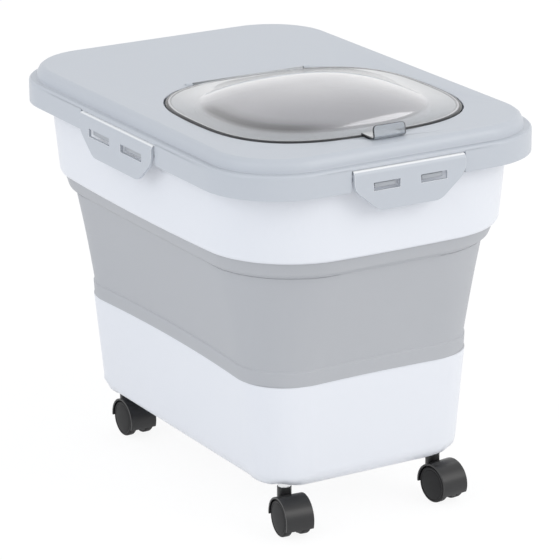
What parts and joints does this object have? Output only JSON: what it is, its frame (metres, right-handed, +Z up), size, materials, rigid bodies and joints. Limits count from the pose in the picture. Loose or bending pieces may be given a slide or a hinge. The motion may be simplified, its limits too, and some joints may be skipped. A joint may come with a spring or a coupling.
{
  "type": "collapsible pet food container",
  "caption": "Wheeled folding food bin: white tub and ring joined by a grey fold-in wall, latched grey lid with a clear domed hatch.",
  "frame": {"origin": "on the floor, under the middle of the bin", "axes": "+Z up; -Y is the short side with the hatch's thumb tab; +X is to the right when facing that side, seen from in front"},
  "size_m": [0.285, 0.403, 0.3321],
  "materials": {
    "white_plastic": "satin white moulded plastic",
    "lid_plastic": "satin light grey moulded plastic",
    "grey_soft": "matt light grey soft plastic",
    "clear_plastic": "clear polished plastic",
    "seal_rubber": "pale translucent rubber",
    "black_plastic": "satin black moulded plastic",
    "plated_steel": "bright plated",
    "steel": "plain"
  },
  "bodies": {
    "tub": {"lower_tub": "white_plastic", "folding_wall": "grey_soft", "caster_sleeve_front_left": "plated_steel", "caster_sleeve_front_right": "plated_steel", "caster_sleeve_back_left": "plated_steel", "caster_sleeve_back_right": "plated_steel"},
    "ring": {"upper_ring": "white_plastic"},
    "lid": {"lid_panel": "lid_plastic", "lid_seal": "seal_rubber", "hatch_seal": "seal_rubber", "hatch_pin": "steel"},
    "hatch": {"hatch_cover": "clear_plastic"},
    "latch_front": {"latch_front": "lid_plastic"},
    "latch_right": {"latch_right": "lid_plastic"},
    "latch_back": {"latch_back": "lid_plastic"},
    "latch_left": {"latch_left": "lid_plastic"},
    "caster_front_left": {"caster_stem_front_left": "plated_steel", "caster_hood_front_left": "black_plastic", "caster_axle_front_left": "steel"},
    "wheel_front_left_a": {"caster_wheel_front_left_a": "black_plastic"},
    "wheel_front_left_b": {"caster_wheel_front_left_b": "black_plastic"},
    "caster_front_right": {"caster_stem_front_right": "plated_steel", "caster_hood_front_right": "black_plastic", "caster_axle_front_right": "steel"},
    "wheel_front_right_a": {"caster_wheel_front_right_a": "black_plastic"},
    "wheel_front_right_b": {"caster_wheel_front_right_b": "black_plastic"},
    "caster_back_left": {"caster_stem_back_left": "plated_steel", "caster_hood_back_left": "black_plastic", "caster_axle_back_left": "steel"},
    "wheel_back_left_a": {"caster_wheel_back_left_a": "black_plastic"},
    "wheel_back_left_b": {"caster_wheel_back_left_b": "black_plastic"},
    "caster_back_right": {"caster_stem_back_right": "plated_steel", "caster_hood_back_right": "black_plastic", "caster_axle_back_right": "steel"},
    "wheel_back_right_a": {"caster_wheel_back_right_a": "black_plastic"},
    "wheel_back_right_b": {"caster_wheel_back_right_b": "black_plastic"}
  },
  "joints": [
    {"name": "collapse", "type": "slide", "parent": "tub", "child": "ring", "axis": [0, 0, -1], "range_m": [0, 0.16], "deforming": ["folding_wall"]},
    {"name": "lid_lift", "type": "slide", "parent": "ring", "child": "lid", "axis": [0, 0, 1], "range_m": [0, 0.12]},
    {"name": "hatch_hinge", "type": "hinge", "parent": "lid", "child": "hatch", "pos_m": [0, 0.0395, 0.3157], "axis": [-1, 0, 0], "range_deg": [0, 110]},
    {"name": "latch_front_hinge", "type": "hinge", "parent": "lid", "child": "latch_front", "pos_m": [0, -0.1975, 0.2994], "axis": [-1, 0, 0], "range_deg": [0, 100]},
    {"name": "latch_right_hinge", "type": "hinge", "parent": "lid", "child": "latch_right", "pos_m": [0.1385, 0, 0.2994], "axis": [0, -1, 0], "range_deg": [0, 100]},
    {"name": "latch_back_hinge", "type": "hinge", "parent": "lid", "child": "latch_back", "pos_m": [0, 0.1975, 0.2994], "axis": [1, 0, 0], "range_deg": [0, 100]},
    {"name": "latch_left_hinge", "type": "hinge", "parent": "lid", "child": "latch_left", "pos_m": [-0.1385, 0, 0.2994], "axis": [0, 1, 0], "range_deg": [0, 100]},
    {"name": "swivel_front_left", "type": "hinge", "parent": "tub", "child": "caster_front_left", "pos_m": [-0.0685, -0.1295, 0], "axis": [0, 0, 1], "continuous": true},
    {"name": "spin_front_left_a", "type": "hinge", "parent": "caster_front_left", "child": "wheel_front_left_a", "pos_m": [-0.0697, -0.14194, 0.01475], "axis": [0.9954, -0.0958, 0], "continuous": true},
    {"name": "spin_front_left_b", "type": "hinge", "parent": "caster_front_left", "child": "wheel_front_left_b", "pos_m": [-0.0697, -0.14194, 0.01475], "axis": [0.9954, -0.0958, 0], "continuous": true},
    {"name": "swivel_front_right", "type": "hinge", "parent": "tub", "child": "caster_front_right", "pos_m": [0.0685, -0.1295, 0], "axis": [0, 0, 1], "continuous": true},
    {"name": "spin_front_right_a", "type": "hinge", "parent": "caster_front_right", "child": "wheel_front_right_a", "pos_m": [0.06992, -0.14192, 0.01475], "axis": [0.9936, 0.1132, 0], "continuous": true},
    {"name": "spin_front_right_b", "type": "hinge", "parent": "caster_front_right", "child": "wheel_front_right_b", "pos_m": [0.06992, -0.14192, 0.01475], "axis": [0.9936, 0.1132, 0], "continuous": true},
    {"name": "swivel_back_left", "type": "hinge", "parent": "tub", "child": "caster_back_left", "pos_m": [-0.0685, 0.1295, 0], "axis": [0, 0, 1], "continuous": true},
    {"name": "spin_back_left_a", "type": "hinge", "parent": "caster_back_left", "child": "wheel_back_left_a", "pos_m": [-0.06839, 0.117, 0.01475], "axis": [1, 0.0087, 0], "continuous": true},
    {"name": "spin_back_left_b", "type": "hinge", "parent": "caster_back_left", "child": "wheel_back_left_b", "pos_m": [-0.06839, 0.117, 0.01475], "axis": [1, 0.0087, 0], "continuous": true},
    {"name": "swivel_back_right", "type": "hinge", "parent": "tub", "child": "caster_back_right", "pos_m": [0.0685, 0.1295, 0], "axis": [0, 0, 1], "continuous": true},
    {"name": "spin_back_right_a", "type": "hinge", "parent": "caster_back_right", "child": "wheel_back_right_a", "pos_m": [0.07067, 0.11719, 0.01475], "axis": [0.9848, 0.1736, 0], "continuous": true},
    {"name": "spin_back_right_b", "type": "hinge", "parent": "caster_back_right", "child": "wheel_back_right_b", "pos_m": [0.07067, 0.11719, 0.01475], "axis": [0.9848, 0.1736, 0], "continuous": true}
  ]
}
